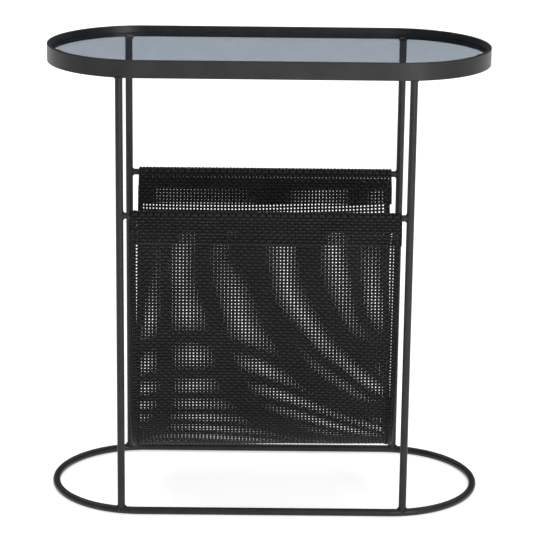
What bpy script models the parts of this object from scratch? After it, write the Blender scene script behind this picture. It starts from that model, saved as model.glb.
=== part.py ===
"""Oval side table with a smoked glass top and a hanging mesh magazine sling.

Steel frame: a flat bar band around the glass, four upright rods, two cross
rods and a rod ring on the floor.  The glass lies loose on six small tabs with
clear pads.  The sling hangs between the cross rods, sewn around each of them.

Frame of the model: metres, +Z up, origin on the floor at the middle of the
base ring, long side along X, front of the table towards -Y.
"""
import bpy
from math import acosh, asin, atan2, cos, cosh, hypot, pi, radians, sin, sinh, sqrt
from mathutils import Matrix, Vector

MM = 0.001
GAP = 0.3 * MM                    # left between pieces that touch

# Top band: flat bar bent to an oval with half round ends
TABLE_LENGTH = 480 * MM
TABLE_WIDTH = 206 * MM
TABLE_HEIGHT = 506 * MM
BAND_HEIGHT = 19 * MM
BAND_THICKNESS = 4 * MM
BAND_EDGE = 0.4 * MM

# Glass, its tabs and pads
GLASS_THICKNESS = 8 * MM
GLASS_CLEARANCE = 1.5 * MM        # between the glass edge and the band
GLASS_EDGE = 0.7 * MM
TAB_WIDTH = 8 * MM
TAB_REACH = 11 * MM
TAB_THICKNESS = 1.8 * MM
PAD_DIAMETER = 7 * MM
PAD_THICKNESS = 1.0 * MM
PAD_INSET = 6 * MM                # pad centre to the band's inner face
TAB_EDGE = 0.3 * MM
FACET_SLACK = 0.1 * MM            # the band's inner face is made of flat facets

# Rods
LEG_RADIUS = 4.1 * MM
RING_RADIUS = 4.1 * MM
CROSS_RADIUS = 3.5 * MM
LEG_SPACING = 308 * MM            # between the left and right leg axes
LEG_SHIFT = -3.2 * MM             # the legs stand this much left of centre
CROSS_HEIGHT = 338 * MM

# Mesh sling
SLING_WIDTH = 291 * MM
SLING_BOTTOM = 49 * MM            # lowest line of the hanging cloth
CLOTH = 1.4 * MM
HEM_SEAM_DROP = 17 * MM           # seam below the rod's axis
HEM_FLAP_DROP = 33 * MM           # free edge of the hem below the rod's axis
CHANNEL_TIP = 5 * MM              # the sewn channel around a rod ends this far above the seam

ARC_STEPS = 28                    # segments in each half round end
ROD_SIDES = 24
PAD_SIDES = 20
CUTTER_SIDES = 32
CUTTER_REACH = 12 * MM            # half length of the tools that cope the rods
SLING_STEPS = 30                  # segments in each side of the hanging curve
SLEEVE_STEPS = 12                 # segments over the top of a rod
HALVINGS = 80                     # steps of the search for the hanging curve

HALF_WIDTH = TABLE_WIDTH / 2
END_CENTRE = TABLE_LENGTH / 2 - HALF_WIDTH
RING_LINE = HALF_WIDTH - RING_RADIUS          # radius of the ring's centre line
BAND_BOTTOM = TABLE_HEIGHT - BAND_HEIGHT
BAND_INNER = HALF_WIDTH - BAND_THICKNESS      # radius of the band's inner face
LEG_LEFT = LEG_SHIFT - LEG_SPACING / 2
LEG_RIGHT = LEG_SHIFT + LEG_SPACING / 2

COATED_STEEL = ("powder_coat", (0.031, 0.031, 0.034), 0.52, 0.0)
SMOKED_GLASS = ("smoked_glass", (0.16, 0.19, 0.22), 0.04, 0.0)
MESH_CLOTH = ("mesh_cloth", (0.018, 0.018, 0.019), 0.72, 0.0)
CLEAR_PAD = ("clear_silicone", (0.62, 0.64, 0.66), 0.25, 0.0)


def clear_scene():
    for item in list(bpy.data.objects):
        bpy.data.objects.remove(item, do_unlink=True)


def new_collection(name):
    made = bpy.data.collections.new(name)
    bpy.context.scene.collection.children.link(made)
    return made


def material(spec):
    name, colour, roughness, metallic = spec
    found = bpy.data.materials.get(name)
    if found:
        return found
    made = bpy.data.materials.new(name)
    made.use_nodes = True
    shader = made.node_tree.nodes["Principled BSDF"]
    shader.inputs["Base Color"].default_value = (*colour, 1.0)
    shader.inputs["Roughness"].default_value = roughness
    shader.inputs["Metallic"].default_value = metallic
    return made


def adopt(item, collection, spec=None):
    """Move an object into a collection and give it its material."""
    for owner in list(item.users_collection):
        owner.objects.unlink(item)
    collection.objects.link(item)
    if spec:
        item.data.materials.clear()
        item.data.materials.append(material(spec))
    return item


def smooth(item, angle=35):
    item.data.shade_smooth()
    item.data.set_sharp_from_angle(angle=radians(angle))


def stadium(length, width, steps=ARC_STEPS):
    """Points of an oval with half round ends, counter-clockwise."""
    radius = width / 2
    centre = length / 2 - radius
    points = []
    for side, start in ((1, -pi / 2), (-1, pi / 2)):
        for step in range(steps + 1):
            angle = start + pi * step / steps
            points.append((side * centre + radius * cos(angle), radius * sin(angle)))
    return points


def outline_object(name, outlines, thickness, edge, collection, spec):
    """A flat piece: closed outlines, filled and extruded, with eased edges."""
    data = bpy.data.curves.new(name, "CURVE")
    data.dimensions = "2D"
    data.fill_mode = "BOTH"
    data.extrude = thickness / 2 - edge
    data.bevel_depth = edge
    data.bevel_resolution = 0
    data.offset = -edge
    for outline in outlines:
        spline = data.splines.new("POLY")
        spline.points.add(len(outline) - 1)
        for point, (x, y) in zip(spline.points, outline):
            point.co = (x, y, 0, 1)
        spline.use_cyclic_u = True
    item = bpy.data.objects.new(name, data)
    return adopt(item, collection, spec)


def ring_object(name, line, radius, height, collection, spec):
    """A closed round rod along a flat line."""
    data = bpy.data.curves.new(name, "CURVE")
    data.dimensions = "3D"
    data.bevel_depth = radius
    data.bevel_resolution = 4
    spline = data.splines.new("POLY")
    spline.points.add(len(line) - 1)
    for point, (x, y) in zip(spline.points, line):
        point.co = (x, y, 0, 1)
    spline.use_cyclic_u = True
    spline.use_smooth = True
    item = bpy.data.objects.new(name, data)
    item.location.z = height
    return adopt(item, collection, spec)


def rod(name, radius, start, end, collection, spec=None, sides=ROD_SIDES):
    """A straight round rod between two points."""
    start = Vector(start)
    end = Vector(end)
    bpy.ops.mesh.primitive_cylinder_add(vertices=sides, radius=radius, depth=(end - start).length)
    item = bpy.context.object
    item.name = name
    item.data.name = name
    item.location = (start + end) / 2
    item.rotation_mode = "QUATERNION"
    item.rotation_quaternion = (end - start).to_track_quat("Z", "Y")
    smooth(item)
    return adopt(item, collection, spec)


def cut(item, cutter):
    cutter.hide_render = True
    cutter.display_type = "WIRE"
    step = item.modifiers.new("cope", "BOOLEAN")
    step.operation = "DIFFERENCE"
    step.solver = "EXACT"
    step.object = cutter


def ring_y(x):
    """Half depth of the base ring's centre line at x."""
    beyond = max(abs(x) - END_CENTRE, 0)
    return sqrt(RING_LINE ** 2 - beyond ** 2)


def upright_y():
    """Half distance between the front and back legs, and between the cross rods."""
    return (ring_y(LEG_LEFT) + ring_y(LEG_RIGHT)) / 2


def ring_direction(x, side):
    """Direction of the base ring's centre line at x, on the given side of Y."""
    beyond = max(abs(x) - END_CENTRE, 0)
    turn = asin(beyond / RING_LINE)
    sign = 1 if x > 0 else -1
    return Vector((cos(turn), -side * sign * sin(turn), 0))


def make_band(parts):
    outer = stadium(TABLE_LENGTH, TABLE_WIDTH)
    inner = stadium(TABLE_LENGTH - 2 * BAND_THICKNESS, TABLE_WIDTH - 2 * BAND_THICKNESS)
    band = outline_object("top_band", (outer, inner), BAND_HEIGHT, BAND_EDGE, parts, COATED_STEEL)
    band.location.z = BAND_BOTTOM + BAND_HEIGHT / 2
    return band


def glass_bottom():
    return BAND_BOTTOM + TAB_THICKNESS + PAD_THICKNESS + 2 * GAP


def make_glass(parts):
    less = 2 * (BAND_THICKNESS + GLASS_CLEARANCE)
    edge = stadium(TABLE_LENGTH - less, TABLE_WIDTH - less)
    glass = outline_object("glass_top", (edge,), GLASS_THICKNESS, GLASS_EDGE, parts, SMOKED_GLASS)
    glass.location.z = glass_bottom() + GLASS_THICKNESS / 2
    return glass


def tab_frames():
    """Where the tabs sit: name, arc centre x and outward direction."""
    frames = [
        ("end_left", -END_CENTRE, Vector((-1, 0, 0))),
        ("end_right", END_CENTRE, Vector((1, 0, 0))),
    ]
    for x, column in ((LEG_LEFT, "left"), (LEG_RIGHT, "right")):
        for side, row in ((-1, "front"), (1, "back")):
            centre = END_CENTRE if x > 0 else -END_CENTRE
            outward = Vector((x - centre, side * upright_y(), 0)).normalized()
            frames.append((row + "_" + column, centre, outward))
    return frames


def make_tabs(parts):
    """Small plates inside the band's lower edge, each with a clear pad on it."""
    for where, centre, outward in tab_frames():
        heading = atan2(outward.y, outward.x)
        reach = BAND_INNER - GAP - FACET_SLACK
        middle = Vector((centre, 0, 0)) + outward * (reach - TAB_REACH / 2)
        bpy.ops.mesh.primitive_cube_add(size=1)
        tab = bpy.context.object
        tab.name = "tab_" + where
        tab.data.transform(size_matrix(TAB_REACH, TAB_WIDTH, TAB_THICKNESS))
        tab.location = (middle.x, middle.y, BAND_BOTTOM + TAB_THICKNESS / 2)
        tab.rotation_euler.z = heading
        ease = tab.modifiers.new("eased edges", "BEVEL")
        ease.width = TAB_EDGE
        ease.segments = 1
        adopt(tab, parts, COATED_STEEL)

        spot = Vector((centre, 0, 0)) + outward * (BAND_INNER - PAD_INSET)
        low = BAND_BOTTOM + TAB_THICKNESS + GAP
        rod("pad_" + where, PAD_DIAMETER / 2, (spot.x, spot.y, low),
            (spot.x, spot.y, low + PAD_THICKNESS), parts, CLEAR_PAD, sides=PAD_SIDES)


def size_matrix(x, y, z):
    """Matrix that scales a unit cube to the given sides."""
    return Matrix.Diagonal((x, y, z, 1))


def make_legs(parts, cutters):
    """Uprights, coped at the bottom over the base ring."""
    for x, column in ((LEG_LEFT, "left"), (LEG_RIGHT, "right")):
        for side, row in ((-1, "front"), (1, "back")):
            y = side * upright_y()
            name = "leg_" + row + "_" + column
            leg = rod(name, LEG_RADIUS, (x, y, RING_RADIUS), (x, y, BAND_BOTTOM - GAP),
                      parts, COATED_STEEL)
            along = ring_direction(x, side) * CUTTER_REACH
            axis = Vector((x, side * ring_y(x), RING_RADIUS))
            saddle = rod("saddle_" + row + "_" + column, RING_RADIUS + GAP, axis - along,
                         axis + along, cutters, sides=CUTTER_SIDES)
            cut(leg, saddle)


def make_cross_rods(parts, cutters):
    """Rods between the left and right legs, coped against them."""
    for side, row in ((-1, "front"), (1, "back")):
        y = side * upright_y()
        name = "cross_rod_" + row
        item = rod(name, CROSS_RADIUS, (LEG_LEFT, y, CROSS_HEIGHT),
                   (LEG_RIGHT, y, CROSS_HEIGHT), parts, COATED_STEEL)
        for x, column in ((LEG_LEFT, "left"), (LEG_RIGHT, "right")):
            low = (x, y, CROSS_HEIGHT - CUTTER_REACH)
            high = (x, y, CROSS_HEIGHT + CUTTER_REACH)
            cope = rod("cope_" + row + "_" + column, LEG_RADIUS + GAP, low, high, cutters,
                       sides=CUTTER_SIDES)
            cut(item, cope)


def hanging_constant(half_span, drop):
    """Catenary constant for a cloth that hangs by the given drop."""
    low = 1 * MM
    high = 1.0
    for _ in range(HALVINGS):
        middle = (low + high) / 2
        if middle * (cosh(half_span / middle) - 1) > drop:
            low = middle
        else:
            high = middle
    return (low + high) / 2


def hanging_side(offset, top, steps):
    """Points up one side of the hanging cloth, moved out by offset."""
    scale = hanging_constant(upright_y(), CROSS_HEIGHT - SLING_BOTTOM)
    last = scale * acosh(1 + (top - SLING_BOTTOM) / scale)
    points = []
    for step in range(steps + 1):
        y = last * step / steps
        z = SLING_BOTTOM + scale * (cosh(y / scale) - 1)
        slope = sinh(y / scale)
        size = hypot(1, slope)
        points.append((y + offset * slope / size, z - offset / size))
    return points


def sleeve(radius, apex, clear=False):
    """Points from outside to inside, over the rod, of a loop sewn at its apex."""
    centre = Vector((upright_y(), CROSS_HEIGHT))
    down = (Vector(apex) - centre)
    length = down.length
    lean = atan2(down.y, down.x)
    spread = pi / 2 + asin(radius / length) if clear else pi / 2
    points = []
    for step in range(SLEEVE_STEPS + 1):
        angle = lean + pi - spread + 2 * spread * step / SLEEVE_STEPS
        points.append((centre.x + radius * cos(angle), centre.y + radius * sin(angle)))
    return points


def sling_outline():
    """Closed outline of the cloth in Y and Z, and the two channels in it."""
    seam = CROSS_HEIGHT - HEM_SEAM_DROP
    flap = CROSS_HEIGHT - HEM_FLAP_DROP
    half = CLOTH / 2
    outside = hanging_side(half, flap, SLING_STEPS)
    hem = hanging_side(half + CLOTH, flap, 1)[-1:] + hanging_side(half + CLOTH, seam, 1)[-1:]
    inside = hanging_side(-half, seam, SLING_STEPS)
    apex = hanging_side(0, seam, 1)[-1]
    inner_radius = CROSS_RADIUS + GAP
    loop = sleeve(inner_radius + CLOTH, apex)
    right = outside + hem + loop + inside[::-1]
    left = [(-y, z) for y, z in right[::-1]]
    closed = right[:-1] + left[:-1]
    tip = hanging_side(half, seam + CHANNEL_TIP, 1)[-1]
    channel = sleeve(inner_radius, tip, clear=True) + [tip]
    return closed, channel, [(-y, z) for y, z in channel[::-1]]


def make_sling(parts):
    data = bpy.data.curves.new("magazine_sling", "CURVE")
    data.dimensions = "2D"
    data.fill_mode = "BOTH"
    data.extrude = SLING_WIDTH / 2
    for outline in sling_outline():
        spline = data.splines.new("POLY")
        spline.points.add(len(outline) - 1)
        for point, (y, z) in zip(spline.points, outline):
            point.co = (y, z, 0, 1)
        spline.use_cyclic_u = True
    sling = bpy.data.objects.new("magazine_sling", data)
    sling.location.x = LEG_SHIFT
    sling.rotation_euler = (pi / 2, 0, pi / 2)
    return adopt(sling, parts, MESH_CLOTH)


def main():
    clear_scene()
    parts = new_collection("side_table")
    cutters = new_collection("cutters")
    make_band(parts)
    make_glass(parts)
    make_tabs(parts)
    line = stadium(2 * (END_CENTRE + RING_LINE), 2 * RING_LINE)
    ring_object("base_ring", line, RING_RADIUS, RING_RADIUS, parts, COATED_STEEL)
    make_legs(parts, cutters)
    make_cross_rods(parts, cutters)
    make_sling(parts)


main()
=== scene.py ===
"""Looks of the oval side table: smoked glass in a black rim, rod legs and a mesh sling.

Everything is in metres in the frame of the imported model: +Z up, long side along X,
front towards -Y, origin on the floor at the middle of the base ring.
"""

import bpy
import numpy as np
from math import acosh, atan2, cos, cosh, hypot, pi, radians, sin, sinh, tau
from mathutils import Matrix, Vector

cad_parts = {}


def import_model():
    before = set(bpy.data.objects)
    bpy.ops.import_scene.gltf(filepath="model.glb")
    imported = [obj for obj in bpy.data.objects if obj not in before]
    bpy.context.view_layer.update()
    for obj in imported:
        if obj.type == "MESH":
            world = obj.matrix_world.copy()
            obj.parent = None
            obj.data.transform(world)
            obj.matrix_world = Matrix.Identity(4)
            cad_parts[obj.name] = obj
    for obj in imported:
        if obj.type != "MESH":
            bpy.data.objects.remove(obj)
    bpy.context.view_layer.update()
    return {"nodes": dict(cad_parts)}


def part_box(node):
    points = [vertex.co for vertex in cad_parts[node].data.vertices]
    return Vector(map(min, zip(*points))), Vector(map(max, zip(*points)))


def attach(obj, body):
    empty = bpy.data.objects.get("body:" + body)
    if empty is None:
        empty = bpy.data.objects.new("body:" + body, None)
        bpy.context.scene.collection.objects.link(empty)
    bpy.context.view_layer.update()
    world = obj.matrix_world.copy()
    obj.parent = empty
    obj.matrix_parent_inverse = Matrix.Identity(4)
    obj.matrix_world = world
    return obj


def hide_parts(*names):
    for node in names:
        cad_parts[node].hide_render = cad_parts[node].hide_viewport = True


MM = 0.001
FRAME_BODY = "frame"
GLASS_BODY = "glass"

# Camera at the photograph's viewing angle, found by fitting the table's outlines
CAMERA_PLACE = (-16.0 * MM, -2449.1 * MM, 967.5 * MM)
CAMERA_PITCH = 0.2728             # below the horizon, radians
CAMERA_YAW = -0.0078
CAMERA_ROLL = 0.0118
CAMERA_LENS = 153.34              # millimetres, on the default 36 mm sensor
CAMERA_RISE = -0.05               # shift of the framing, in widths of the picture

# Rods and rim, as in the CAD
LEG_RADIUS = 4.1 * MM
RING_RADIUS = 4.1 * MM
CROSS_RADIUS = 3.5 * MM
RIM_THICKNESS = 4 * MM
RIM_EASE = 0.6 * MM
GLASS_ARRIS = 0.5 * MM
GLASS_TINT = (0.365, 0.475, 0.59)
GLASS_DENSITY = 102.0             # absorption per metre, times one minus the tint
WELD_SIZE = 1.2 * MM              # radius of a bead
WELD_RIPPLE = 0.12                # share of the bead's size
RIPPLE_LENGTH = 1.1 * MM
ROD_WELD_SIZE = 0.8 * WELD_SIZE
RING_WELD_GAP = 0.2 * MM          # between the leg's surface and the middle of the bead
TOP_WELD_GAP = 0.1 * MM           # the same at the rim and the cross rods
RIM_WELD_HALF_TURN = 1.9          # radians of the bead on each side of the leg's outermost point
END_TAPER = 0.35                  # power of a sine; an open bead thins towards its ends
THIN_END = 0.15                   # down to this share
ROD_SHARP_ANGLE = 50              # degrees; the rods' end rims stay sharp
GLASS_SHARP_ANGLE = 25

# Sling cloth
YARN_PITCH = 3.96 * MM            # between the lengthwise yarns
ROW_PITCH = 3.76 * MM             # between the crosswise yarns
YARN_HALF_WIDTH = 1.28 * MM
ROW_HALF_WIDTH = 1.18 * MM
YARN_HALF_THICKNESS = 0.50 * MM
WEAVE_LIFT = 0.45 * MM            # a yarn's rise and fall over the others
CLOTH_HALF = 0.65 * MM            # from the CAD sling's underside to the middle of the cloth
LAYER = 1.45 * MM                 # between two layers of the cloth
SLEEVE_GAP = 1.6 * MM             # rod surface to the middle of the sleeve's cloth
HEM_SEAM_DROP = 17 * MM           # of the hem's seam below the middle of the rod
HEM_FLAP_DROP = {"front": 32.5 * MM, "back": 36.2 * MM}
HEM_SKEW = 1.9 * MM               # a hem's flap lies this much to the right of the cloth under it
CLOTH_OVERHANG = 0.30             # crosswise yarns pass the last lengthwise one, in pitches
BOTTOM_TILT = 2.0 * MM            # the bag's bottom rises this much from its middle to its right
BOTTOM_FLARE = 2.6 * MM           # each side edge stands out this much more at the bottom
YARN_LEAN = -4.5 * MM             # yarns go this far right from the bottom to the back seam
YARN_CURL = 1.5 * MM              # and turn back this much; the other way towards the front seam
ROW_SLANT = 3.0 * MM              # rows go this far to the back seam at the right, away at the left
ROW_SAG = 3.0 * MM                # and both their ends go this far to the back seam
YARN_WANDER = 0.25 * MM           # greatest slow error of a yarn's place in the cloth
BILLOW = 0.8 * MM                 # greatest slow rise of the cloth off its curve
EDGE_HOLD = 6                     # power of the place sideways with which the edges hold the yarns
DRIFT_WAVES = 5
DRIFT_RATES = (16.0, 64.0)        # radians per metre

# Side hems; the shares are of a yarn pitch, measured inwards from the fold
SIDE_HEM = 5.3 * MM               # from the fold to the turned-in raw edge
FOLD_MARGIN = YARN_PITCH / 4      # from the last lengthwise yarn out to the fold
FOLDED_YARNS = (0.35, 1.0)        # the turned-in lengthwise yarns
FOLD_BENDS = (0.68, 0.25)         # corners of the crosswise yarns on the turned-in layer
FOLD_BEHIND = 0.3                 # and where they end in the layer below

# Stitches
STITCH_LENGTH = 3.0 * MM
STITCH_STEP = 3.9 * MM
STITCH_RADIUS = 0.32 * MM
STITCH_RISE = 0.3 * MM            # of the middle of a stitch over its ends
STITCH_DIP = 0.1 * MM             # of its ends into the cloth
STITCH_HEIGHT = 0.55 * MM         # of a seam over the middle of the upper layer
SIDE_STITCH_INSET = 2.6 * MM      # from the raw edge of a side hem
HEM_STITCH_DROP = 2.5 * MM        # below the seam of a hem

# Studio
FLOOR_RADIUS = 14.0
FLOOR_DROP = 0.2 * MM             # keeps the floor just clear of the ring
FLOOR_GLOW = 0.54                 # light that the floor gives off under the table
FLOOR_GLOW_FROM = 1.5             # metres from the table where this starts to rise to 1
FLOOR_GLOW_TO = 5.0

# Fineness of the meshes
ARC_STEPS = 64
TUBE_SIDES = 32
EASE_STEPS = 4
LINE_STEPS = 1500
SLEEVE_STEPS = 60
FLAP_STEPS = 12
LEG_STEPS = 12
ROD_STEPS = 20
WELD_STEPS = 60
RING_WELD_STEPS = 72
WELD_SIDES = 12
STITCH_STEPS = 7
STITCH_SIDES = 6
SEAM_STEPS = 60
FLOOR_SIDES = 96


# ---------------------------------------------------------------- mesh helpers

def mesh_object(name, points, faces, material, sharp_angle=None):
    """A smooth shaded mesh; edges sharper than sharp_angle degrees stay sharp."""
    data = bpy.data.meshes.new(name)
    data.from_pydata(np.asarray(points, float).reshape(-1, 3).tolist(), [], faces)
    data.validate()
    data.shade_smooth()
    if sharp_angle:
        data.set_sharp_from_angle(angle=radians(sharp_angle))
    data.materials.append(material)
    item = bpy.data.objects.new(name, data)
    bpy.context.scene.collection.objects.link(item)
    return item


def finish_piece(item, body, slot, *nodes):
    """Rides the piece on its body and hides the CAD nodes it stands for."""
    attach(item, body)
    if nodes:
        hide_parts(*nodes)
    return item


def grid_faces(rows, columns, closed_rows=False, start=0):
    """Quads of rows of points, each row a closed ring."""
    faces = []
    for row in range(rows if closed_rows else rows - 1):
        here = start + row * columns
        after = start + (row + 1) % rows * columns
        for column in range(columns):
            beside = (column + 1) % columns
            faces.append((here + column, here + beside, after + beside, after + column))
    return faces


def travelled_along(line):
    """Distance from the line's start to each of its points."""
    steps = np.linalg.norm(np.diff(np.asarray(line, float), axis=0), axis=1)
    return np.concatenate(([0], np.cumsum(steps)))


def interpolate(places, travelled, values):
    """Points or directions at the given distances along a line."""
    values = np.asarray(values, float)
    return np.stack([np.interp(places, travelled, column) for column in values.T], 1)


def path_normals(path, closed):
    """Two normals at each point of a path, turning as little as possible."""
    if closed:
        tangent = np.roll(path, -1, 0) - np.roll(path, 1, 0)
    else:
        tangent = np.gradient(path, axis=0)
    tangent /= np.linalg.norm(tangent, axis=1)[:, None]
    off_axis = (0.31, 0.17, 0.93)  # no path starts in this direction
    first = np.cross(tangent[0], off_axis)
    first /= np.linalg.norm(first)
    normals = [first]
    for step in range(1, len(path)):
        moved = normals[-1] - tangent[step] * (normals[-1] @ tangent[step])
        normals.append(moved / np.linalg.norm(moved))
    normals = np.array(normals)
    return normals, np.cross(tangent, normals)


def tube_points(path, radii, sides, closed):
    """Rings of points of a round tube along a path."""
    path = np.asarray(path, float)
    radii = np.broadcast_to(np.asarray(radii, float), (len(path),))
    first, second = path_normals(path, closed)
    angle = np.arange(sides) * tau / sides
    circle = (first[:, None, :] * np.cos(angle)[None, :, None]
              + second[:, None, :] * np.sin(angle)[None, :, None])
    return path[:, None, :] + circle * radii[:, None, None]


def tube(path, radii, sides=TUBE_SIDES, closed=False):
    """Points and faces of a tube that closes on itself or has flat ends."""
    points = tube_points(path, radii, sides, closed).reshape(-1, 3)
    rows = len(path)
    faces = grid_faces(rows, sides, closed_rows=closed)
    if not closed:
        last = (rows - 1) * sides
        faces.append(tuple(reversed(range(sides))))
        faces.append(tuple(range(last, last + sides)))
    return points, faces


class Batch:
    """Collects several meshes into one piece."""

    def __init__(self):
        self.points = []
        self.faces = []
        self.slots = []
        self.count = 0

    def add(self, points, faces, slot=0):
        points = np.asarray(points, float).reshape(-1, 3)
        shifted = [tuple(self.count + index for index in face) for face in faces]
        self.points.append(points)
        self.faces.extend(shifted)
        self.slots.extend([slot] * len(faces))
        self.count += len(points)

    def build(self, name, *materials):
        """The piece; a face's slot says which of the materials it has."""
        item = mesh_object(name, np.concatenate(self.points), self.faces, materials[0])
        for extra in materials[1:]:
            item.data.materials.append(extra)
        if len(materials) > 1:
            item.data.polygons.foreach_set("material_index", self.slots)
        return item


# ------------------------------------------------------------------ materials

def new_material(name):
    made = bpy.data.materials.new(name)
    made.use_nodes = True
    shader = made.node_tree.nodes["Principled BSDF"]
    return made, made.node_tree, shader


def node(tree, kind, **settings):
    made = tree.nodes.new(kind)
    for key, value in settings.items():
        setattr(made, key, value)
    return made


def noise(tree, scale, detail, roughness=0.55):
    """Noise over the object's own coordinates; scale is in features per metre."""
    place = node(tree, "ShaderNodeTexCoord")
    made = node(tree, "ShaderNodeTexNoise")
    made.inputs["Scale"].default_value = scale
    made.inputs["Detail"].default_value = detail
    made.inputs["Roughness"].default_value = roughness
    tree.links.new(place.outputs["Object"], made.inputs["Vector"])
    return made.outputs["Fac"]


def remap(tree, value, source, target):
    """Maps the source range of a value to the target range, and holds it at both ends."""
    made = node(tree, "ShaderNodeMapRange")
    for socket, number in zip(("From Min", "From Max", "To Min", "To Max"), source + target):
        made.inputs[socket].default_value = number
    tree.links.new(value, made.inputs["Value"])
    return made.outputs["Result"]


def mix_colours(tree, factor, first, second):
    made = node(tree, "ShaderNodeMix", data_type="RGBA")
    made.inputs["A"].default_value = (*first, 1)
    made.inputs["B"].default_value = (*second, 1)
    tree.links.new(factor, made.inputs["Factor"])
    return made.outputs["Result"]


def bump(tree, shader, height, strength, distance, before=None):
    """Bump on the shader's normal, laid over the bump before it, if any."""
    made = node(tree, "ShaderNodeBump")
    made.inputs["Strength"].default_value = strength
    made.inputs["Distance"].default_value = distance
    tree.links.new(height, made.inputs["Height"])
    if before:
        tree.links.new(before, made.inputs["Normal"])
    tree.links.new(made.outputs["Normal"], shader.inputs["Normal"])
    return made.outputs["Normal"]


def powder_coat():
    """Fine matt black powder coat: slight orange peel, faint clouding."""
    made, tree, shader = new_material("coated_steel")
    cloud = remap(tree, noise(tree, scale=55, detail=2), (0.35, 0.65), (0, 1))
    tree.links.new(mix_colours(tree, cloud, (0.012, 0.012, 0.0125), (0.017, 0.017, 0.018)),
                   shader.inputs["Base Color"])
    grain = noise(tree, scale=1400, detail=2, roughness=0.5)
    tree.links.new(remap(tree, grain, (0.3, 0.7), (0.34, 0.46)), shader.inputs["Roughness"])
    peel = noise(tree, scale=420, detail=1, roughness=0.4)
    peel_bump = bump(tree, shader, peel, strength=0.25, distance=0.05 * MM)
    bump(tree, shader, grain, strength=0.3, distance=0.03 * MM, before=peel_bump)
    shader.inputs["Specular IOR Level"].default_value = 0.25
    return made


def smoked_glass():
    """Grey-blue float glass; lamps shine straight through its surfaces."""
    made, tree, shader = new_material("smoked_glass_pane")
    veil = remap(tree, noise(tree, scale=9, detail=2), (0.35, 0.65), (0, 1))
    tree.links.new(mix_colours(tree, veil, (1, 1, 1), (0.98, 0.985, 0.99)),
                   shader.inputs["Base Color"])
    smears = remap(tree, noise(tree, scale=30, detail=4), (0.45, 0.75), (0.0, 0.006))
    tree.links.new(smears, shader.inputs["Roughness"])
    shader.inputs["Transmission Weight"].default_value = 1.0
    shader.inputs["IOR"].default_value = 1.5
    clear = node(tree, "ShaderNodeBsdfTransparent")
    clear.inputs["Color"].default_value = (1, 1, 1, 1)
    tint = node(tree, "ShaderNodeVolumeAbsorption")
    tint.inputs["Color"].default_value = (*GLASS_TINT, 1)
    tint.inputs["Density"].default_value = GLASS_DENSITY
    rays = node(tree, "ShaderNodeLightPath")
    mixed = node(tree, "ShaderNodeMixShader")
    tree.links.new(rays.outputs["Is Shadow Ray"], mixed.inputs["Fac"])
    tree.links.new(shader.outputs["BSDF"], mixed.inputs[1])
    tree.links.new(clear.outputs["BSDF"], mixed.inputs[2])
    output = tree.nodes["Material Output"]
    tree.links.new(mixed.outputs["Shader"], output.inputs["Surface"])
    tree.links.new(tint.outputs["Volume"], output.inputs["Volume"])
    return made


def ground_edge():
    """The pane's ground edge, almost black because the tint is so deep from the side."""
    made, tree, shader = new_material("glass_ground_edge")
    grit = noise(tree, scale=1800, detail=3)
    tree.links.new(mix_colours(tree, grit, (0.010, 0.013, 0.016), (0.022, 0.027, 0.032)),
                   shader.inputs["Base Color"])
    tree.links.new(remap(tree, grit, (0.3, 0.7), (0.38, 0.55)), shader.inputs["Roughness"])
    bump(tree, shader, grit, strength=0.3, distance=0.03 * MM)
    return made


def mesh_yarn(name, dark, light):
    """Vinyl coated polyester yarn, matt black with a fine grain."""
    made, tree, shader = new_material(name)
    cloud = remap(tree, noise(tree, scale=26, detail=3), (0.35, 0.65), (0, 1))
    coolness = 1.04
    tone = mix_colours(tree, cloud, (dark, dark, coolness * dark), (light, light, coolness * light))
    tree.links.new(tone, shader.inputs["Base Color"])
    fibre = noise(tree, scale=2600, detail=2, roughness=0.6)
    tree.links.new(remap(tree, fibre, (0.3, 0.7), (0.36, 0.52)), shader.inputs["Roughness"])
    bump(tree, shader, fibre, strength=0.5, distance=0.06 * MM)
    shader.inputs["Specular IOR Level"].default_value = 0.13
    shader.inputs["Sheen Weight"].default_value = 0.02
    return made


def sewing_thread():
    """Black polyester thread."""
    made, tree, shader = new_material("sewing_thread")
    twist = noise(tree, scale=3200, detail=2)
    tree.links.new(mix_colours(tree, twist, (0.010, 0.010, 0.011), (0.030, 0.030, 0.032)),
                   shader.inputs["Base Color"])
    shader.inputs["Roughness"].default_value = 0.6
    bump(tree, shader, twist, strength=0.6, distance=0.05 * MM)
    return made


def clear_silicone():
    """Clear satin silicone bumper."""
    made, tree, shader = new_material("clear_bumper")
    haze = noise(tree, scale=700, detail=2)
    tree.links.new(mix_colours(tree, haze, (0.60, 0.62, 0.64), (0.72, 0.74, 0.76)),
                   shader.inputs["Base Color"])
    tree.links.new(remap(tree, haze, (0.3, 0.7), (0.22, 0.34)), shader.inputs["Roughness"])
    shader.inputs["Transmission Weight"].default_value = 0.7
    shader.inputs["IOR"].default_value = 1.41
    return made


# ------------------------------------------------------------- steel and glass

def oval(half_length, radius):
    """Points and outward directions of an oval with half round ends."""
    centre = half_length - radius
    points = []
    outward = []
    for side, start in ((1, -pi / 2), (-1, pi / 2)):
        for step in range(ARC_STEPS + 1):
            angle = start + pi * step / ARC_STEPS
            points.append((side * centre + radius * cos(angle), radius * sin(angle)))
            outward.append((cos(angle), sin(angle)))
    return np.array(points), np.array(outward)


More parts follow.
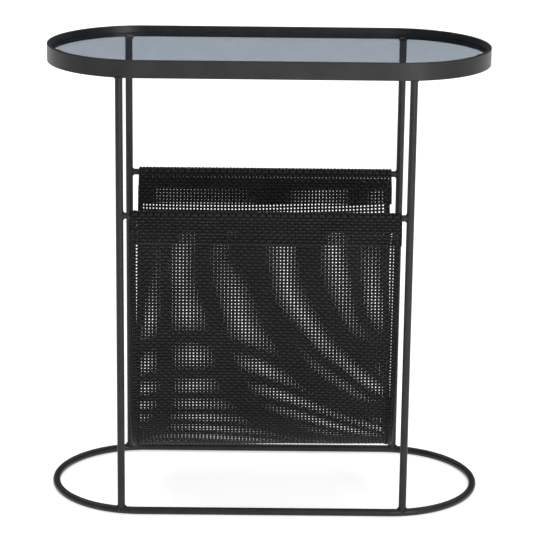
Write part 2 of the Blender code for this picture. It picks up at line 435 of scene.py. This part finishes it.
def rounded_section(inner, outer, low, high, ease):
    """Rectangle with eased corners, as (offset, height) points.

    One more point on the flats beside each corner keeps the flats shaded flat.
    """
    corners = (
        (outer - ease, low + ease, -pi / 2),
        (outer - ease, high - ease, 0),
        (inner + ease, high - ease, pi / 2),
        (inner + ease, low + ease, pi),
    )
    points = []
    margin = ease / 3
    for x, z, start in corners:
        angles = [start + pi / 2 * step / EASE_STEPS for step in range(EASE_STEPS + 1)]
        turn = [(x + ease * cos(angle), z + ease * sin(angle)) for angle in angles]
        first_x, first_z = turn[0]
        last_x, last_z = turn[-1]
        before = (first_x - margin * cos(start + pi / 2), first_z - margin * sin(start + pi / 2))
        beyond = (last_x + margin * cos(start + pi), last_z + margin * sin(start + pi))
        points += [before] + turn + [beyond]
    return points


def make_rim(steel):
    low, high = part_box("top_band")
    radius = high.y
    line, outward = oval(high.x, radius)
    section = rounded_section(-RIM_THICKNESS, 0, low.z, high.z, RIM_EASE)
    points = np.array([[(x + offset * nx, y + offset * ny, z) for offset, z in section]
                       for (x, y), (nx, ny) in zip(line, outward)])
    faces = grid_faces(len(line), len(section), closed_rows=True)
    faces = [face[::-1] for face in faces]
    item = mesh_object("rim", points, faces, steel)
    finish_piece(item, FRAME_BODY, "powder_coat", "top_band")


def make_glass(glass, ground):
    low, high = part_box("glass_top")
    line, outward = oval(high.x, high.y)
    levels = (
        (GLASS_ARRIS, low.z),
        (0, low.z + GLASS_ARRIS),
        (0, high.z - GLASS_ARRIS),
        (GLASS_ARRIS, high.z),
    )
    points = [[(x - inset * nx, y - inset * ny, z) for (x, y), (nx, ny) in zip(line, outward)]
              for inset, z in levels]
    count = len(line)
    top = (len(levels) - 1) * count
    faces = grid_faces(len(levels), count)
    faces.append(tuple(reversed(range(count))))
    faces.append(tuple(range(top, top + count)))
    item = mesh_object("glass_pane", points, faces, glass, GLASS_SHARP_ANGLE)
    item.data.materials.append(ground)
    for face in item.data.polygons[:-2]:
        face.material_index = 1
    finish_piece(item, GLASS_BODY, "smoked_glass", "glass_top")


def make_ring(steel):
    low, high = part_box("base_ring")
    line, _ = oval(high.x - RING_RADIUS, high.y - RING_RADIUS)
    path = [(x, y, RING_RADIUS) for x, y in line]
    points, faces = tube(path, RING_RADIUS, closed=True)
    item = mesh_object("floor_ring", points, faces, steel)
    finish_piece(item, FRAME_BODY, "powder_coat", "base_ring")


def leg_axis(name):
    low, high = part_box(name)
    return (low.x + high.x) / 2, (low.y + high.y) / 2


def rod_height(row):
    low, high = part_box("cross_rod_" + row)
    return (low.z + high.z) / 2


def make_legs(steel):
    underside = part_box("top_band")[0].z
    for row in ("front", "back"):
        for column in ("left", "right"):
            cad = "leg_" + row + "_" + column
            x, y = leg_axis(cad)
            heights = np.linspace(RING_RADIUS, underside, LEG_STEPS)
            points, faces = tube([(x, y, z) for z in heights], LEG_RADIUS)
            name = "upright_" + row + "_" + column
            item = mesh_object(name, points, faces, steel, ROD_SHARP_ANGLE)
            finish_piece(item, FRAME_BODY, "powder_coat", cad)


def make_cross_rods(steel):
    for row in ("front", "back"):
        left, y = leg_axis("leg_" + row + "_left")
        right, _ = leg_axis("leg_" + row + "_right")
        height = rod_height(row)
        path = [(x, y, height) for x in np.linspace(left, right, ROD_STEPS)]
        points, faces = tube(path, CROSS_RADIUS)
        item = mesh_object("sling_rod_" + row, points, faces, steel, ROD_SHARP_ANGLE)
        finish_piece(item, FRAME_BODY, "powder_coat", "cross_rod_" + row)


def bead(path, size, closed=True):
    """A weld bead along a path: a tube whose thickness ripples as the welder moved."""
    radii = size * (1 + WELD_RIPPLE * np.sin(travelled_along(path) / RIPPLE_LENGTH * tau))
    if not closed:
        ends = np.sin(np.linspace(0, pi, len(path))) ** END_TAPER
        radii = radii * np.maximum(ends, THIN_END)
    return tube(path, radii, sides=WELD_SIDES, closed=closed)


def ring_weld(x, y):
    """Bead around a leg where it meets the floor ring."""
    turn = np.arange(RING_WELD_STEPS) * tau / RING_WELD_STEPS
    reach = LEG_RADIUS + RING_WELD_GAP
    across = reach * np.sin(turn)
    height = RING_RADIUS + np.sqrt(np.maximum(RING_RADIUS ** 2 - across ** 2, 0))
    return np.stack((x + reach * np.cos(turn), y + across, height), 1)


def rim_weld(x, y, height):
    """Bead around the outer part of a leg's top, against the rim's lower edge."""
    facing = pi / 2 if y > 0 else -pi / 2
    turn = facing + np.linspace(-RIM_WELD_HALF_TURN, RIM_WELD_HALF_TURN, WELD_STEPS)
    reach = LEG_RADIUS + TOP_WELD_GAP
    level = np.full(WELD_STEPS, height)
    return np.stack((x + reach * np.cos(turn), y + reach * np.sin(turn), level), 1)


def rod_weld(x, y, height, side):
    """Bead around a cross rod's end, on the side of the leg that faces the sling."""
    turn = np.arange(WELD_STEPS) * tau / WELD_STEPS
    reach = CROSS_RADIUS + TOP_WELD_GAP
    across = reach * np.cos(turn)
    along = np.sqrt(np.maximum(LEG_RADIUS ** 2 - across ** 2, 0))
    return np.stack((x + side * along, y + across, height + reach * np.sin(turn)), 1)


def make_welds(steel):
    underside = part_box("top_band")[0].z
    for row in ("front", "back"):
        height = rod_height(row)
        for column, side in (("left", 1), ("right", -1)):
            x, y = leg_axis("leg_" + row + "_" + column)
            welds = Batch()
            welds.add(*bead(ring_weld(x, y), WELD_SIZE))
            welds.add(*bead(rim_weld(x, y, underside), WELD_SIZE, closed=False))
            welds.add(*bead(rod_weld(x, y, height, side), ROD_WELD_SIZE))
            item = welds.build("welds_" + row + "_" + column, steel)
            finish_piece(item, FRAME_BODY, "powder_coat")


# ------------------------------------------------------------------ the sling

def hanging_constant(half_span, drop):
    """Catenary constant for a cloth that hangs by the given drop, found by halving a range."""
    low = 1 * MM
    high = 1.0
    halvings = 80
    for _ in range(halvings):
        middle = (low + high) / 2
        if middle * (cosh(half_span / middle) - 1) > drop:
            low = middle
        else:
            high = middle
    return (low + high) / 2


class Sling:
    """The cloth's lines in Y and Z, worked out from the rods and the CAD sling's box."""

    def __init__(self):
        low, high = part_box("magazine_sling")
        rod_low, rod_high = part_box("cross_rod_back")
        self.left = low.x
        self.right = high.x
        self.rod_y = (rod_low.y + rod_high.y) / 2
        self.rod_z = (rod_low.z + rod_high.z) / 2
        self.bottom = low.z + CLOTH_HALF
        self.scale = hanging_constant(self.rod_y, self.rod_z - self.bottom)
        self.seam = self.rod_z - HEM_SEAM_DROP
        self.length = travelled_along(self.main_line())[-1]
        self.pitch = self.length / round(self.length / ROW_PITCH)

    def side_y(self, z):
        """Half the bag's depth at a height."""
        return self.scale * acosh(1 + (z - self.bottom) / self.scale)

    def main_line(self):
        """From the front seam, down, and up to the back seam."""
        reach = self.side_y(self.seam)
        y = np.linspace(-reach, reach, LINE_STEPS)
        return np.stack((y, self.bottom + self.scale * (np.cosh(y / self.scale) - 1)), 1)

    def facing(self, z):
        """Y and Z of the outward direction of the cloth at the back, at a height."""
        slope = sinh(self.side_y(z) / self.scale)
        size = hypot(1, slope)
        return slope / size, -1 / size

    def hem_line(self, side, flap_drop):
        """From the seam inside the rod, over it, back to the seam and down the flap."""
        centre = Vector((self.rod_y, self.rod_z))
        apex = Vector((self.side_y(self.seam), self.seam))
        radius = CROSS_RADIUS + SLEEVE_GAP
        down = apex - centre
        lean = atan2(down.y, down.x)
        half = np.arccos(radius / down.length)
        start = lean - half
        end = lean + half - tau
        turn = np.linspace(start, end, SLEEVE_STEPS)
        over = [(centre.x + radius * cos(a), centre.y + radius * sin(a)) for a in turn]
        flap = []
        for z in np.linspace(self.seam, self.rod_z - flap_drop, FLAP_STEPS):
            out_y, out_z = self.facing(z)
            flap.append((self.side_y(z) + LAYER * out_y, z + LAYER * out_z))
        line = np.array([tuple(apex)] + over + flap)
        line[:, 0] *= side
        return line


def walk_line(line, step, first):
    """Evenly spaced points along a line, with tangents."""
    travelled = travelled_along(line)
    rounding = 1e-9
    places = np.arange(first, travelled[-1] + rounding, step)
    near = 0.4 * step
    spots = interpolate(places, travelled, line)
    after = interpolate(places + near, travelled, line)
    before = interpolate(places - near, travelled, line)
    tangent = after - before
    tangent /= np.linalg.norm(tangent, axis=1)[:, None]
    return spots, tangent


def drift(u, s, seed):
    """Slow waves over the cloth, at most 1 high, the same each run."""
    total = np.zeros(np.broadcast(u, s).shape)
    generator = np.random.default_rng(seed)
    for _ in range(DRIFT_WAVES):
        rate_u, rate_s = generator.uniform(*DRIFT_RATES, 2) * generator.choice((-1, 1), 2)
        phase = generator.uniform(0, tau)
        total = total + np.sin(rate_u * u + rate_s * s + phase)
    return total / DRIFT_WAVES


def yarn_tubes(crossings, lift, across, normal, half_width):
    """Flat four sided yarns through crossings[yarn, place]."""
    yarns, places, _ = crossings.shape
    centre = crossings + normal * lift[..., None]
    ring = [centre + across * half_width, centre + normal * YARN_HALF_THICKNESS,
            centre - across * half_width, centre - normal * YARN_HALF_THICKNESS]
    points = np.stack(ring, 2).reshape(-1, 3)
    faces = []
    for yarn in range(yarns):
        start = yarn * places * 4
        faces += grid_faces(places, 4, start=start)
        faces.append((start + 3, start + 2, start + 1, start))
        last = start + (places - 1) * 4
        faces.append((last, last + 1, last + 2, last + 3))
    return points, faces


def add_lengthwise(batch, crossings, normal, parity=0):
    """Adds the lengthwise yarns; returns 1 where they go over a row and -1 where under."""
    columns, rows, _ = crossings.shape
    over = 1 - 2 * ((np.arange(columns)[:, None] + np.arange(rows)[None, :] + parity) % 2)
    across = np.broadcast_to(np.array((1.0, 0, 0)), crossings.shape)
    batch.add(*yarn_tubes(crossings, WEAVE_LIFT * over, across, normal, YARN_HALF_WIDTH))
    return over


def weave(batch, crossings, tangent, normal, parity=0):
    """Both sets of yarns of a cloth whose yarns cross at crossings[column, row]."""
    over = add_lengthwise(batch, crossings, normal, parity)
    rows_along, across, facing = [np.swapaxes(part, 0, 1) for part in (crossings, tangent, normal)]
    rows_along = rows_along.copy()
    rows_along[:, 0, 0] -= CLOTH_OVERHANG * YARN_PITCH
    rows_along[:, -1, 0] += CLOTH_OVERHANG * YARN_PITCH
    # The crosswise yarns take the second material, whose lighter colour is painted sheen.
    batch.add(*yarn_tubes(rows_along, -WEAVE_LIFT * over.T, across, facing, ROW_HALF_WIDTH), slot=1)


def lay_cloth(line, columns, pitch, first_row=0.0, layer=0.0, flip=1):
    """Crossing points, tangents and outward normals for a cloth along a line.

    It lies off the line by layer; flip -1 turns the outward side over.
    """
    spots, tangent = walk_line(line, pitch, first_row)
    rows = len(spots)
    shape = (len(columns), rows, 3)
    points = np.zeros(shape)
    points[..., 0] = np.asarray(columns)[:, None]
    points[..., 1] = spots[None, :, 0]
    points[..., 2] = spots[None, :, 1]
    along = np.zeros(shape)
    along[..., 1] = tangent[None, :, 0]
    along[..., 2] = tangent[None, :, 1]
    normal = np.zeros(shape)
    normal[..., 1] = flip * tangent[None, :, 1]
    normal[..., 2] = -flip * tangent[None, :, 0]
    points = points + normal * layer
    return points, along, normal


def yarn_columns(sling):
    """X of each lengthwise yarn, as many as fit between the side folds."""
    usable = sling.right - sling.left - 2 * FOLD_MARGIN
    count = int(usable / YARN_PITCH) + 1
    middle = (sling.left + sling.right) / 2
    return middle + (np.arange(count) - (count - 1) / 2) * YARN_PITCH


def sideways_place(points, sling):
    """-1 at the cloth's left edge, 1 at its right edge."""
    return (points[..., 0] - (sling.left + sling.right) / 2) / ((sling.right - sling.left) / 2)


def loosen(points, along, normal, sling):
    """Small slow errors: yarns wander, the cloth billows, and its bottom tilts and flares."""
    u = points[..., 0]
    s = points[..., 1] + points[..., 2]
    points[..., 0] += YARN_WANDER * drift(u, s, seed=11)
    points += along * (YARN_WANDER * drift(u, s, seed=12))[..., None]
    points += normal * (BILLOW * drift(u, s, seed=13))[..., None]
    sideways = sideways_place(points, sling)
    height = np.clip((points[..., 2] - sling.bottom) / (sling.seam - sling.bottom), 0, 1)
    points[..., 2] += BOTTOM_TILT * sideways * (1 - height) ** 2
    points[..., 0] += BOTTOM_FLARE * sideways * (1 - height)
    return points


def pull_askew(points, along, sling):
    """Yarns lean and rows slant and bow, as in a cloth sewn a little out of square.

    The side edges hold the yarns next to them straight.
    """
    sideways = sideways_place(points, sling)
    climb = np.linspace(-1, 1, points.shape[1])[None, :]
    free = 1 - np.clip(np.abs(sideways), 0, 1) ** EDGE_HOLD
    points[..., 0] += (YARN_LEAN * climb + YARN_CURL * climb ** 3) * free
    points += along * (ROW_SLANT * sideways + ROW_SAG * sideways ** 2)[..., None]
    return points


def make_sling(thread):
    # The crosswise yarns are a lighter copy of the same yarn: painted sheen, standing in for the
    # glint along the rows.
    yarn = (
        mesh_yarn("mesh_yarn_long", dark=0.002, light=0.004),
        mesh_yarn("mesh_yarn_cross_painted_sheen", dark=0.013, light=0.019),
    )
    sling = Sling()
    columns = yarn_columns(sling)
    points, along, normal = lay_cloth(sling.main_line(), columns, sling.pitch)
    points = pull_askew(points, along, sling)
    points = loosen(points, along, normal, sling)
    body = Batch()
    weave(body, points, along, normal)
    cloth = body.build("sling_mesh", *yarn)
    finish_piece(cloth, FRAME_BODY, "mesh_cloth", "magazine_sling")

    extras = make_hems(sling, columns, yarn) + make_side_hems(sling, columns, yarn)
    extras += make_stitches(sling, columns, thread)


def make_hems(sling, columns, yarn):
    made = []
    for row, side in (("front", -1), ("back", 1)):
        line = sling.hem_line(side, HEM_FLAP_DROP[row])
        travelled = travelled_along(line)
        flap_start = travelled[-FLAP_STEPS]
        first = (flap_start + sling.pitch / 2) % sling.pitch
        points, along, normal = lay_cloth(line, columns, sling.pitch, first_row=first, flip=side)
        progress = np.clip(np.arange(points.shape[1]) * sling.pitch / flap_start, 0, 1)
        points[..., 0] += HEM_SKEW * progress
        hem = Batch()
        weave(hem, points, along, normal, parity=1)
        item = hem.build("sling_hem_" + row, *yarn)
        made.append(finish_piece(item, FRAME_BODY, "mesh_cloth"))
    return made


def side_folds(columns):
    """Name, X of the fold and direction inwards for both sides of the cloth."""
    return (
        ("left", columns[0] - FOLD_MARGIN, 1),
        ("right", columns[-1] + FOLD_MARGIN, -1),
    )


def make_side_hems(sling, columns, yarn):
    made = []
    for name, edge, inward in side_folds(columns):
        folded = edge + inward * np.array(FOLDED_YARNS) * YARN_PITCH
        points, along, normal = lay_cloth(sling.main_line(), folded, sling.pitch, layer=LAYER)
        points = loosen(points, along, normal, sling)
        strip = Batch()
        add_lengthwise(strip, points, normal)
        rows = side_rows(points, normal, edge, inward)
        across = np.repeat(along[:1], len(rows), 0)
        facing = np.repeat(normal[:1], len(rows), 0)
        rows, across, facing = [np.swapaxes(part, 0, 1) for part in (rows, across, facing)]
        lift = np.zeros(rows.shape[:2])
        # The crosswise yarns take the second material, whose lighter colour is painted sheen.
        strip.add(*yarn_tubes(rows, lift, across, facing, ROW_HALF_WIDTH), slot=1)
        item = strip.build("sling_side_hem_" + name, *yarn)
        made.append(finish_piece(item, FRAME_BODY, "mesh_cloth"))
    return made


def side_rows(points, normal, edge, inward):
    """Points of a side hem's crosswise yarns, from the raw edge out and round the fold."""
    outer_bend, inner_bend = (share * YARN_PITCH for share in FOLD_BENDS)
    bends = (
        (SIDE_HEM, 0.0),
        (outer_bend, 0.0),
        (inner_bend, 0.0),
        (0.0, -LAYER / 2),
        (FOLD_BEHIND * YARN_PITCH, -LAYER),
    )
    rows = []
    for reach, lift in bends:
        row = points[0].copy()
        row[:, 0] = edge + inward * reach
        rows.append(row + normal[0] * lift)
    return np.array(rows)


def stitch_run(batch, path, normals):
    """Separate stitches along a path, each dipping into the cloth at its ends."""
    travelled = travelled_along(path)
    profile = np.linspace(0, 1, STITCH_STEPS)
    rise = np.sin(profile * pi)
    for start in np.arange(0, travelled[-1] - STITCH_LENGTH, STITCH_STEP):
        places = start + profile * STITCH_LENGTH
        spots = interpolate(places, travelled, path)
        facing = interpolate(places, travelled, normals)
        spots = spots + facing * (rise * STITCH_RISE - STITCH_DIP)[:, None]
        batch.add(*tube(spots, STITCH_RADIUS * (1 + rise) / 2, sides=STITCH_SIDES))


def make_stitches(sling, columns, thread):
    made = []
    height = LAYER + STITCH_HEIGHT
    for name, edge, inward in side_folds(columns):
        place = [edge + inward * (SIDE_HEM - SIDE_STITCH_INSET)]
        points, along, normal = lay_cloth(sling.main_line(), place, sling.pitch, layer=height)
        points = loosen(points, along, normal, sling)
        made.append(stitched_piece("stitches_side_" + name, points[0], normal[0], thread))
    for row, side in (("front", -1), ("back", 1)):
        z = sling.seam - HEM_STITCH_DROP
        out_y, out_z = sling.facing(z)
        facing = np.array((0, side * out_y, out_z))
        path = np.zeros((SEAM_STEPS, 3))
        path[:, 0] = np.linspace(columns[0], columns[-1], SEAM_STEPS)
        path += np.array((0, side * sling.side_y(z), z)) + facing * height
        normals = np.repeat(facing[None], SEAM_STEPS, 0)
        made.append(stitched_piece("stitches_hem_" + row, path, normals, thread))
    return made


def stitched_piece(name, path, normals, thread):
    run = Batch()
    stitch_run(run, path, normals)
    return finish_piece(run.build(name, thread), FRAME_BODY, "mesh_cloth")


# --------------------------------------------------------------------- studio

def make_floor():
    """A pale round floor that glows a little, and more so far away, so that it stays pale."""
    data = bpy.data.meshes.new("studio_floor")
    turn = np.arange(FLOOR_SIDES) * tau / FLOOR_SIDES
    level = np.zeros(FLOOR_SIDES)
    ring = np.stack((FLOOR_RADIUS * np.cos(turn), FLOOR_RADIUS * np.sin(turn), level), 1)
    data.from_pydata(ring.tolist(), [], [tuple(range(FLOOR_SIDES))])
    made, tree, shader = new_material("studio_floor")
    shade = remap(tree, noise(tree, scale=0.8, detail=2), (0.3, 0.7), (0, 1))
    tree.links.new(mix_colours(tree, shade, (0.90, 0.90, 0.90), (0.92, 0.92, 0.92)),
                   shader.inputs["Base Color"])
    shader.inputs["Roughness"].default_value = 0.9
    shader.inputs["Specular IOR Level"].default_value = 0.1
    shader.inputs["Emission Color"].default_value = (1, 1, 1, 1)
    place = node(tree, "ShaderNodeTexCoord")
    reach = node(tree, "ShaderNodeVectorMath", operation="LENGTH")
    tree.links.new(place.outputs["Object"], reach.inputs[0])
    glow = remap(tree, reach.outputs["Value"],
                 (FLOOR_GLOW_FROM, FLOOR_GLOW_TO), (FLOOR_GLOW, 1.0))
    tree.links.new(glow, shader.inputs["Emission Strength"])
    data.materials.append(made)
    item = bpy.data.objects.new("studio_floor", data)
    item.location.z = -FLOOR_DROP
    bpy.context.scene.collection.objects.link(item)


def make_world():
    """A pale room: white where it is seen, dim where it would only add reflections."""
    world = bpy.data.worlds.new("studio")
    world.use_nodes = True
    bpy.context.scene.world = world
    tree = world.node_tree
    back = tree.nodes["Background"]
    rays = node(tree, "ShaderNodeLightPath")
    seen = mix_colours(tree, rays.outputs["Is Camera Ray"], (0.05, 0.05, 0.052), (1.0, 1.0, 1.0))
    tree.links.new(seen, back.inputs["Color"])


def soft_box(name, place, target, size, power):
    """A rectangular lamp at a place, turned to a target; metres and watts."""
    data = bpy.data.lights.new(name, "AREA")
    data.shape = "RECTANGLE"
    data.size, data.size_y = size
    data.energy = power
    item = bpy.data.objects.new(name, data)
    item.location = place
    item.rotation_euler = (Vector(target) - Vector(place)).to_track_quat("-Z", "Y").to_euler()
    bpy.context.scene.collection.objects.link(item)


def make_lights():
    soft_box("overhead", place=(0, 1.0, 4.2), target=(0, 1.0, 0), size=(9.0, 9.0), power=320)
    soft_box("key", place=(1.3, -3.0, 1.0), target=(0, 0, 0.25), size=(0.9, 1.1), power=65)


def make_camera():
    data = bpy.data.cameras.new("camera")
    data.lens = CAMERA_LENS
    data.shift_y = CAMERA_RISE
    camera = bpy.data.objects.new("camera", data)
    turn = (Matrix.Rotation(CAMERA_YAW, 4, "Z") @ Matrix.Rotation(pi / 2 - CAMERA_PITCH, 4, "X")
            @ Matrix.Rotation(CAMERA_ROLL, 4, "Z"))
    camera.matrix_world = Matrix.Translation(CAMERA_PLACE) @ turn
    bpy.context.scene.collection.objects.link(camera)
    bpy.context.scene.camera = camera


# ----------------------------------------------------------------------- main


def main():
    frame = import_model()
    bpy.context.scene.view_settings.view_transform = "Standard"
    steel = powder_coat()
    bumper = clear_silicone()
    for name, item in frame["nodes"].items():
        if name.startswith("pad_"):
            item.data.materials[0] = bumper
        if name.startswith("tab_"):
            item.data.materials[0] = steel
    make_rim(steel)
    make_glass(smoked_glass(), ground_edge())
    make_ring(steel)
    make_legs(steel)
    make_cross_rods(steel)
    make_welds(steel)
    make_sling(sewing_thread())
    make_floor()
    make_world()
    make_lights()
    make_camera()


main()
